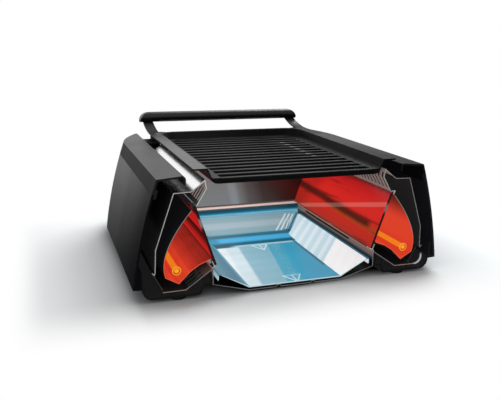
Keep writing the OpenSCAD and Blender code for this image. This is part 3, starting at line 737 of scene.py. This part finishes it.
    def wind(self, tree, side, sizes, wire):
        """Winds the resistance wire round one element."""
        low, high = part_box(side + "_heating_element")
        x, _, z = middle(side + "_heating_element")
        inset = 1.0 * MM
        grow_from_tree(side + "_heater_winding", tree, {
            "Turns": float(sizes.turns), "Winding Radius": sizes.winding, "Wire Radius": sizes.wire,
            "Length": high[1] - low[1] - 2 * inset, "Start": (x, low[1] + inset, z), "Finish": wire},
            HOUSING)


def grow_from_tree(name, tree, values, body):
    """Runs a geometry tree on an empty mesh and keeps its result as a plain mesh."""
    holder = bpy.data.objects.new(name + "_maker", bpy.data.meshes.new(name + "_maker"))
    bpy.context.scene.collection.objects.link(holder)
    modifier = holder.modifiers.new("Build", "NODES")
    modifier.node_group = tree
    for item in tree.interface.items_tree:
        if item.item_type == "SOCKET" and item.in_out == "INPUT":
            modifier[item.identifier] = values[item.name]
    graph = bpy.context.evaluated_depsgraph_get()
    mesh = bpy.data.meshes.new_from_object(holder.evaluated_get(graph), depsgraph=graph)
    holder.modifiers.remove(modifier)
    bpy.data.objects.remove(holder)
    mesh.name = name
    piece = bpy.data.objects.new(name, mesh)
    bpy.context.scene.collection.objects.link(piece)
    for polygon in mesh.polygons:
        polygon.use_smooth = True
    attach(piece, body)


class GRILL_OT_glass(bpy.types.Operator):
    """Gives the two panes their glass with a painted red glow"""

    bl_idname = "grill.glass"
    bl_label = "Glass Panes"

    def execute(self, context):
        finish_pair("glass", self.red_glass())
        return {"FINISHED"}

    def red_glass(self):
        """A painted red glow of the heaters' light, with a nearly black sawn edge that has a pale painted
        highlight in its middle.
        """
        mat, tree = new_tree("red lit glass")
        place = object_place(tree)
        x, y, z = split(place)
        left = on_left(x)
        lit = blend(left, self.right_pane(place, y - CUT_Y, z), self.left_pane(z))
        # Painted shade along the top edge of the left pane
        top = left * step((y - CUT_Y) * 0.03 + z, 0.1020, 0.1028)
        lit = blend(top, lit, (0.010, 0.009, 0.010))
        patch = between(z, 0.086, 0.096, 0.003) * (left * 0.1 + 0.35)
        sawn = blend(patch, (0.016, 0.007, 0.007), (0.42, 0.33, 0.38))
        cut = cut_face(tree, 0.6 * MM)
        surface(tree, {
            "Base Color": (0.012, 0.003, 0.003), "Roughness": 0.16,
            "Emission Color": blend(cut, lit, sawn), "Emission Strength": 1.0,
            "Alpha": larger(cut, left * 0.05 + 0.95), "Specular IOR Level": 0.04 - left * 0.04})
        return mat

    def right_pane(self, place, behind, z):
        """Red glow with lines along the depth, an amber-edged bar and a falling reflection."""
        low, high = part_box("right_glass")
        rise = z - low[2]
        glow = ramp(rise / (high[2] - low[2]), [
            (0.0, (0.16, 0.040, 0.028)), (0.05, (0.46, 0.030, 0.018)), (0.25, (0.60, 0.022, 0.013)),
            (0.6, (0.64, 0.018, 0.014)), (0.82, (0.54, 0.012, 0.011)), (0.94, (0.40, 0.010, 0.010)),
            (1.0, (0.14, 0.008, 0.008))])
        # Fine lines, stronger near the foot
        lines = step(wave(z - 0.6 * MM, 2.4 * MM), 0.1, 0.9) * (step(rise, 0.034, 0.022) * 0.35 + 0.12)
        glow = blend(lines, glow, (0.12, 0.008, 0.006))
        # A soft, slightly wavy dark bar with an amber lower side, and thin streaks beside it
        bar = (noise(place, 16.0, 2.0) - 0.5) * 0.006 + rise - behind * 0.022
        amber = between(bar, 0.0165, 0.0245, 0.0025) * step(behind, 0.145, 0.115)
        glow = blend(amber * 0.75, glow, (0.30, 0.055, 0.010))
        core = between(bar, 0.0205, 0.0305, 0.0032) * step(behind, 0.012, 0.030)
        glow = blend(core * 0.93, glow, (0.060, 0.0075, 0.004))
        streaks = step(noise(stretched(place, (10.0, 9.0, 170.0)), 1.0, 3.0), 0.58, 0.70)
        glow = blend(streaks * 0.7, glow, (0.16, 0.010, 0.008))
        # The upper part of the far end is in the housing's shade
        shaded = step(rise * 0.9 + behind, 0.205, 0.240)
        glow = blend(shaded * 0.30, glow, (0.030, 0.0035, 0.003))
        # A pale reflection that falls towards the back
        pale = between(rise + behind * 0.256, 0.0545, 0.0605, 0.0010)
        return blend(pale * 0.13, glow, (1.0, 0.60, 0.48))

    def left_pane(self, z):
        """Red bands with one broad dark one between them, and a dark upper edge."""
        return ramp((z - 0.044) / 0.064, [
            (0.02, (0.045, 0.006, 0.005)), (0.055, (0.12, 0.008, 0.008)), (0.10, (0.57, 0.016, 0.014)),
            (0.19, (0.45, 0.0135, 0.011)), (0.27, (0.37, 0.0116, 0.010)), (0.335, (0.27, 0.010, 0.0095)),
            (0.375, (0.14, 0.0085, 0.0065)), (0.44, (0.087, 0.0065, 0.0055)),
            (0.505, (0.045, 0.0035, 0.0025)), (0.55, (0.07, 0.0045, 0.003)), (0.58, (0.40, 0.0125, 0.0095)),
            (0.625, (0.60, 0.015, 0.012)), (0.69, (0.46, 0.0125, 0.010)), (0.81, (0.50, 0.0125, 0.011)),
            (0.875, (0.42, 0.0115, 0.010)), (0.91, (0.25, 0.010, 0.009)), (0.935, (0.010, 0.009, 0.010))])


class GRILL_OT_tray(bpy.types.Operator):
    """Gives the drip tray its glossy blues"""

    bl_idname = "grill.tray"
    bl_label = "Drip Tray"

    def execute(self, context):
        finish_node("drip_tray", self.blue_plastic(context.scene.grill_finish.tray))
        return {"FINISHED"}

    def blue_plastic(self, blue):
        """Glossy blue in painted light: each wall and fold is painted as it is lit, and the tray glows;
        blue is the floor's at the right.
        """
        mat, tree = new_tree("glossy tray blue")
        x, y, z = object_xyz(tree)
        behind = y - CUT_Y
        facing_x, _, facing_up = facing(tree)
        tone = self.floor_blue(tree, x, behind, z, blue)
        tone = self.back_blue(tone, x, behind, z)
        tone = self.right_wall(tone, x, behind, z, facing_x)
        tone = self.left_wall(tone, z, facing_x)
        # Painted shade in the fold at the foot of the right wall, and the rim
        foot = between(x, 0.0565, 0.0607, 0.0006) * step(behind, 0.036, 0.046) * step(behind, 0.150, 0.147)
        tone = blend(foot * 0.9, tone, (0.006, 0.15, 0.22))
        rim = blend(step(abs(x), 0.094, 0.097), (0.15, 0.33, 0.41), (0.012, 0.13, 0.21))
        tone = blend(step(z, 0.0259, 0.0263), tone, rim)
        # Faces that look down get painted shade and no glow
        down = step(facing_up, -0.05, -0.2)
        tone = blend(down, tone, (0.02, 0.10, 0.15))
        shade, _, normal = grained(tree, 260.0, 0.04, clouding=0.1)
        sawn = blend(step(z, 0.0246, 0.0256), (0.55, 0.70, 0.76), (0.02, 0.19, 0.30))
        tone = blend(cut_face(tree, 0.4 * MM), scaled(tone, shade), sawn)
        # Painted glow: the tray gives off its own painted colours
        surface(tree, {
            "Base Color": scaled(tone, 0.55), "Roughness": 0.3, "Normal": normal,
            "Emission Color": tone, "Emission Strength": (1.0 - down) * 0.62,
            "Coat Weight": 0.2, "Coat Roughness": 0.08, "Specular IOR Level": 0.3})
        return mat

    def floor_blue(self, tree, x, behind, z, blue):
        """A painted glare at the left, paler in the middle and deeper blue to the right."""
        tone = ramp(x * 7.0 + 0.5, [
            (0.0, (0.27, 0.48, 0.58)), (0.30, (0.266, 0.479, 0.578)), (0.50, (0.225, 0.457, 0.558))])
        slope = x - behind * 0.18
        deeper = ramp((slope + 0.011) / 0.04, [
            (0.0, (0.075, 0.375, 0.52)), (0.35, (0.070, 0.37, 0.525)), (0.6, blue)])
        tone = blend(step(slope, -0.0122, -0.0098), tone, deeper)
        skew = x - behind * 0.107
        glare = blend(step(skew, -0.060, -0.066), (0.62, 0.76, 0.82), (0.76, 0.84, 0.87))
        tone = blend(between(skew, -0.090, -0.0445, 0.0024), tone, glare)
        # Faint painted reflections of the grid's bars, painted shade further back, and a column of small
        # painted glints right of the middle
        bars = wave(behind, 26 * MM) * 0.02 * step(x, 0.008, 0.0)
        painted_depth_shading = 1.0 - step(behind, 0.070, 0.125) * 0.12
        tone = scaled(tone, bars + painted_depth_shading)
        glints, _, _ = brushed(tree, (210.0, 160.0, 1.0), 2.0)
        column = between(slope, -0.003, 0.007, 0.0015) * step(glints, 1.05, 1.35)
        tone = blend(column * 0.45, tone, (0.33, 0.55, 0.64))
        raised = step(z, 0.00730, 0.00755)
        return blend(raised * 0.6, tone, (0.70, 0.83, 0.88))

    def back_blue(self, tone, x, behind, z):
        """Behind the floor, in painted light and shade: a dark fold, the bright step, a second fold and the
        ramp up to the rim.
        """
        fold = (0.002, 0.105, 0.165)
        back = ramp(behind / 0.25, [
            (0.560, (0.30, 0.50, 0.60)), (0.588, (0.33, 0.52, 0.61)), (0.596, fold), (0.626, fold),
            (0.642, (0.035, 0.31, 0.53)), (0.660, (0.060, 0.40, 0.69)), (0.696, (0.050, 0.37, 0.63)),
            (0.716, (0.020, 0.115, 0.165)), (0.748, (0.035, 0.15, 0.21))])
        tone = blend(step(behind, 0.1395, 0.1435), tone, back)
        # The fold's painted shade widens into the left rear corner, where the step ends in darker painted
        # shade
        widened = step(x, -0.028, -0.044) * between(behind, 0.1425, 0.1570, 0.0015)
        tone = blend(widened, tone, (0.001, 0.082, 0.130))
        ending = step(x, -0.046, -0.056) * between(behind, 0.157, 0.178, 0.001)
        tone = blend(ending * 0.75, tone, (0.012, 0.20, 0.33))
        # The ramp up to the rim, with pale painted highlights in bands
        up = ramp((z - 0.011) / 0.0155, [
            (0.0, (0.10, 0.33, 0.44)), (0.06, (0.22, 0.35, 0.405)), (0.24, (0.227, 0.356, 0.407)),
            (0.36, (0.323, 0.434, 0.485)), (0.56, (0.323, 0.434, 0.485)), (0.70, (0.231, 0.361, 0.413)),
            (0.84, (0.231, 0.361, 0.413)), (0.92, (0.171, 0.342, 0.434)), (0.975, (0.27, 0.45, 0.52)),
            (1.0, (0.25, 0.43, 0.50))])
        return blend(step(behind, 0.1875, 0.1885), tone, up)

    def right_wall(self, tone, x, behind, z, facing_x):
        """Painted reflections make it striped, painted light makes it nearly white towards the section, and
        the flutes in the far corner have pale painted highlights.
        """
        steps = behind - (z - TRAY_FLOOR) * 1.87
        waves = wave(steps - 0.0885, 23.3 * MM)
        wall = blend(step(waves, -0.15, 0.45), (0.56, 0.73, 0.80), (0.71, 0.83, 0.88))
        white = scaled((0.98, 0.98, 0.985), waves * 0.015 + 0.985)
        wall = blend(step(steps, 0.0520, 0.0500), wall, white)
        # The flutes end in a fold, painted dark blue as shade, beside the striped wall
        corner = behind - x * 1.27
        at_right = step(x, 0.0605, 0.0625) * step(behind, 0.150, 0.153)
        past = step(corner, 0.0965, 0.0950) * at_right
        side_on = step(facing_x, -0.28, -0.36) * step(corner, 0.1045, 0.1035)
        tone = blend(larger(side_on, past), tone, wall)
        flutes = step(wave(corner - 0.110, 9.5 * MM), -0.1, 0.6) * between(corner, 0.1045, 0.134, 0.001)
        flutes = flutes * step(behind, 0.187, 0.192) * step(z, 0.0252, 0.0245)
        tone = blend(flutes * 0.75, tone, (0.70, 0.81, 0.86))
        fold = between(corner, 0.0960, 0.1035, 0.0012) * at_right
        return blend(fold * 0.92, tone, (0.006, 0.15, 0.25))

    def left_wall(self, tone, z, facing_x):
        """Shaded, with a bright foot."""
        shaded = ramp((z - TRAY_FLOOR) / TRAY_WALL, [
            (0.0, (0.10, 0.33, 0.45)), (0.10, (0.065, 0.22, 0.32)), (0.16, (0.036, 0.13, 0.19)),
            (0.60, (0.075, 0.185, 0.245)), (0.85, (0.11, 0.25, 0.31)), (1.0, (0.10, 0.23, 0.29))])
        return blend(step(facing_x, 0.28, 0.36), tone, shaded)


class GRILL_OT_grid(bpy.types.Operator):
    """Gives the grid and its handle their coated surfaces"""

    bl_idname = "grill.grid"
    bl_label = "Grid and Handle"

    def execute(self, context):
        look = context.scene.grill_finish
        finish_node("grill_grid", self.coating(look.grid))
        finish_node("handle_grip", moulded(
            "satin black grip", look.inner, roughness=0.36, grain=SATIN, relief=0.06, level=0.4))
        finish_node("handle_insert", moulded(
            "dark grey insert", (0.20, 0.20, 0.205), roughness=0.4, grain=SATIN, relief=0.06, level=0.5))
        return {"FINISHED"}

    def coating(self, colour):
        """Non-stick coating: fine spark texture, duller on the ribs than on the rails, partly by roughness
        and partly by painted sheen.
        """
        mat, tree = new_tree("black non-stick coating")
        x, y, _ = object_xyz(tree)
        behind = y - CUT_Y
        shade, rough, normal = grained(tree, 700.0, 0.08)
        rail = step(abs(x), 0.1125, 0.1145)
        # Painted light: the right rail brightens with distance, and the arm at its far end doesn't
        painted_depth_shading = (step(behind, 0.01, 0.21) * 2.0 - 0.30) * rail * on_right(x) * step(behind, 0.215, 0.200)
        light = painted_depth_shading + 1.0
        # Painted sheen, much stronger on the left half than on the right
        sheen = step(x, 0.06, -0.06) * 0.36 + 0.02
        level = rail * sheen + (sheen * 0.2 + 0.045)
        surface(tree, {
            "Base Color": scaled(scaled(colour, shade), light), "Specular IOR Level": level * light,
            "Roughness": rough + (0.42 - rail * 0.14), "Normal": normal})
        return mat


class GRILL_OT_controls(bpy.types.Operator):
    """Gives the switch, its bezel and the pilot lamp their finishes"""

    bl_idname = "grill.controls"
    bl_label = "Controls"

    def execute(self, context):
        gloss = moulded(
            "gloss black moulding", context.scene.grill_finish.inner,
            roughness=0.15, grain=300.0, relief=0.02, level=0.5)
        finish_node("switch_frame", gloss)
        finish_node("switch_rocker", gloss)
        finish_node("pilot_lamp", self.orange_lens())
        return {"FINISHED"}

    def orange_lens(self):
        mat, tree = new_tree("orange lens")
        shade = use(tree, "Moulded Grain", Scale=500.0, Clouding=0.2)["Shade"]
        surface(tree, {
            "Base Color": scaled((0.75, 0.2, 0.03), shade), "Roughness": 0.1,
            "Emission Color": (1.0, 0.22, 0.02), "Emission Strength": 0.4})
        return mat


class GRILL_OT_stage(bpy.types.Operator):
    """Builds the floor, the soft lights and the camera"""

    bl_idname = "grill.stage"
    bl_label = "Studio"

    def execute(self, context):
        studio = context.scene.grill_studio
        self.floor()
        self.world(context.scene)
        self.softbox(
            "Overhead Softbox", place=(0.95, 0.85, 1.5), target=(0.0, 0.0, 0.05), wide=1.2, high=1.2,
            power=studio.key)
        self.softbox(
            "Front Softbox", place=(-0.75, -1.5, 0.55), target=(0.0, 0.0, 0.06), wide=1.1, high=0.7,
            power=studio.front)
        self.softbox(
            "Inner Softbox", place=(-0.02, -0.02, 0.131), target=(0.0, -0.02, 0.0), wide=0.13, high=0.18,
            power=studio.tray)
        self.camera(context.scene, studio)
        return {"FINISHED"}

    def floor(self):
        mesh = bpy.data.meshes.new("studio_floor")
        outline = bmesh.new()
        bmesh.ops.create_grid(outline, x_segments=2, y_segments=2, size=9.0)
        outline.to_mesh(mesh)
        outline.free()
        mesh.materials.append(self.pale_floor())
        plane = bpy.data.objects.new("studio_floor", mesh)
        bpy.context.scene.collection.objects.link(plane)

    def pale_floor(self):
        """Shaded near the object, plain white away from it, and dark in reflections."""
        mat, tree = new_tree("pale studio floor")
        x, y, _ = object_xyz(tree)
        path = outputs_of(node(tree, "ShaderNodeLightPath"))
        # Contact shade: wide at the right, where the overhead light leaves little, and close at the left
        wide = 1.0 - (1.0 - self.openness(tree, 0.16)) * step(x, -0.12, -0.04)
        close = 1.0 - (1.0 - self.openness(tree, 0.045)) * step(x, 0.0, -0.08) * 0.7
        seen = scaled((0.965, 1.0, 1.012), wide * close)
        tone = blend(path["Is Camera Ray"], 0.80, seen)
        tone = blend(path["Is Glossy Ray"], tone, 0.10)
        # In reflections the floor brightens far behind the object
        horizon = step(y, 0.05, 1.2) * 0.45
        near = result(tree, "ShaderNodeAddShader", {
            0: result(tree, "ShaderNodeBsdfDiffuse", {"Color": tone}),
            1: self.glowing_white(tree, path["Is Glossy Ray"] * horizon)})
        far = path["Is Camera Ray"] * (1.0 - self.shaded_patch(x, y))
        ground = result(tree, "ShaderNodeMixShader", {0: far, 1: near, 2: self.glowing_white(tree, 1.0)})
        node(tree, "ShaderNodeOutputMaterial", {0: ground})
        return mat

    def openness(self, tree, reach):
        return result(tree, "ShaderNodeAmbientOcclusion", {"Distance": reach}, out="AO", samples=16)

    def glowing_white(self, tree, strength):
        return result(tree, "ShaderNodeEmission", {"Color": 1.0, "Strength": strength})

    def shaded_patch(self, x, y):
        """1 on the floor round the object, running out sooner in front than at the left."""
        start = ramp(x * 2.5 + 0.5, [
            (0.0, 0.35), (0.025, 0.55), (0.125, 0.70), (0.25, 0.80), (0.45, 0.68), (0.58, 0.42),
            (0.725, 0.28), (0.9, 0.4)])
        last = 0.106 - step(x, -0.08, -0.17) * 0.012
        ahead = step(CUT_Y - y, start * 0.1 - 0.06, last)
        outward = step(abs(x), 0.292, 0.335)
        rearward = step(y, 0.125, 0.21)
        beside = 1.0 - step(x, -0.19, -0.22) * 0.22
        return (1.0 - ahead) * (1.0 - outward) * (1.0 - rearward) * beside

    def world(self, scene):
        """White for the camera, softer as a light, and dimmer in reflections towards the right."""
        world = bpy.data.worlds.new("white studio")
        world.use_nodes = True
        tree = world.node_tree
        tree.nodes.clear()
        path = outputs_of(node(tree, "ShaderNodeLightPath"))
        glossy = path["Is Glossy Ray"]
        sideways = split(result(tree, "ShaderNodeTexCoord", out="Generated"))[0]
        mirrored = result(tree, "ShaderNodeMapRange", {0: sideways, 1: 0.2, 2: 0.44, 3: 1.0, 4: 0.32})
        strength = glossy * mirrored + (1.0 - glossy) * 0.35
        strength = larger(strength, larger(path["Is Camera Ray"], path["Is Transmission Ray"]))
        background = result(tree, "ShaderNodeBackground", {"Color": 1.0, "Strength": strength})
        node(tree, "ShaderNodeOutputWorld", {0: background})
        scene.world = world

    def softbox(self, name, place, target, wide, high, power):
        light = bpy.data.lights.new(name, "AREA")
        light.shape = "RECTANGLE"
        light.size = wide
        light.size_y = high
        light.energy = power
        lamp = bpy.data.objects.new(name, light)
        lamp.location = place
        lamp.visible_camera = False
        lamp.rotation_euler = (Vector(target) - Vector(place)).to_track_quat("-Z", "Y").to_euler()
        bpy.context.scene.collection.objects.link(lamp)

    def camera(self, scene, studio):
        place = (-0.2925, -0.8421, 0.2978)
        yaw, pitch, roll = (math.radians(a) for a in (19.26, 14.67, 0.91))
        ahead = Vector((math.sin(yaw) * math.cos(pitch), math.cos(yaw) * math.cos(pitch), -math.sin(pitch)))
        right = Vector((math.cos(yaw), -math.sin(yaw), 0))
        up = right.cross(ahead)
        turned = right * math.cos(roll) + up * math.sin(roll)
        lifted = up * math.cos(roll) - right * math.sin(roll)
        turn = Matrix((turned, lifted, -ahead)).transposed()
        lens = bpy.data.cameras.new("Studio Camera")
        lens.lens = studio.lens
        lens.sensor_width = 36.0
        lens.clip_end = 50.0
        camera = bpy.data.objects.new("Studio Camera", lens)
        camera.matrix_world = Matrix.Translation(place) @ turn.to_4x4()
        scene.collection.objects.link(camera)
        scene.camera = camera


class GRILL_PT_panel(bpy.types.Panel):
    bl_idname = "GRILL_PT_panel"
    bl_label = "Grill Section"
    bl_space_type = "VIEW_3D"
    bl_region_type = "UI"
    bl_category = "Grill"

    def draw(self, context):
        column = self.layout.column()
        for name, kind in SETTINGS:
            for label in kind.__annotations__:
                column.prop(getattr(context.scene, name), label)
        for made in OPERATORS:
            column.operator(made.bl_idname)


OPERATORS = (
    GRILL_OT_shells, GRILL_OT_steelwork, GRILL_OT_heaters, GRILL_OT_glass, GRILL_OT_tray,
    GRILL_OT_grid, GRILL_OT_controls, GRILL_OT_stage,
)
SETTINGS = (("grill_finish", GrillFinish), ("grill_heater", GrillHeater), ("grill_studio", GrillStudio))
CLASSES = tuple(kind for _, kind in SETTINGS) + OPERATORS + (GRILL_PT_panel,)


def register():
    for made in CLASSES:
        bpy.utils.register_class(made)
    for name, kind in SETTINGS:
        setattr(bpy.types.Scene, name, bpy.props.PointerProperty(type=kind))


def unregister():
    for name, _ in SETTINGS:
        delattr(bpy.types.Scene, name)
    for made in reversed(CLASSES):
        bpy.utils.unregister_class(made)


def main():
    register()
    bpy.context.scene.view_settings.view_transform = "Standard"
    build_moulded_grain()
    build_brushed_sheet()
    build_cut_face()
    for made in OPERATORS:
        family, action = made.bl_idname.split(".")
        getattr(getattr(bpy.ops, family), action)()


if __name__ == "__main__":
    main()
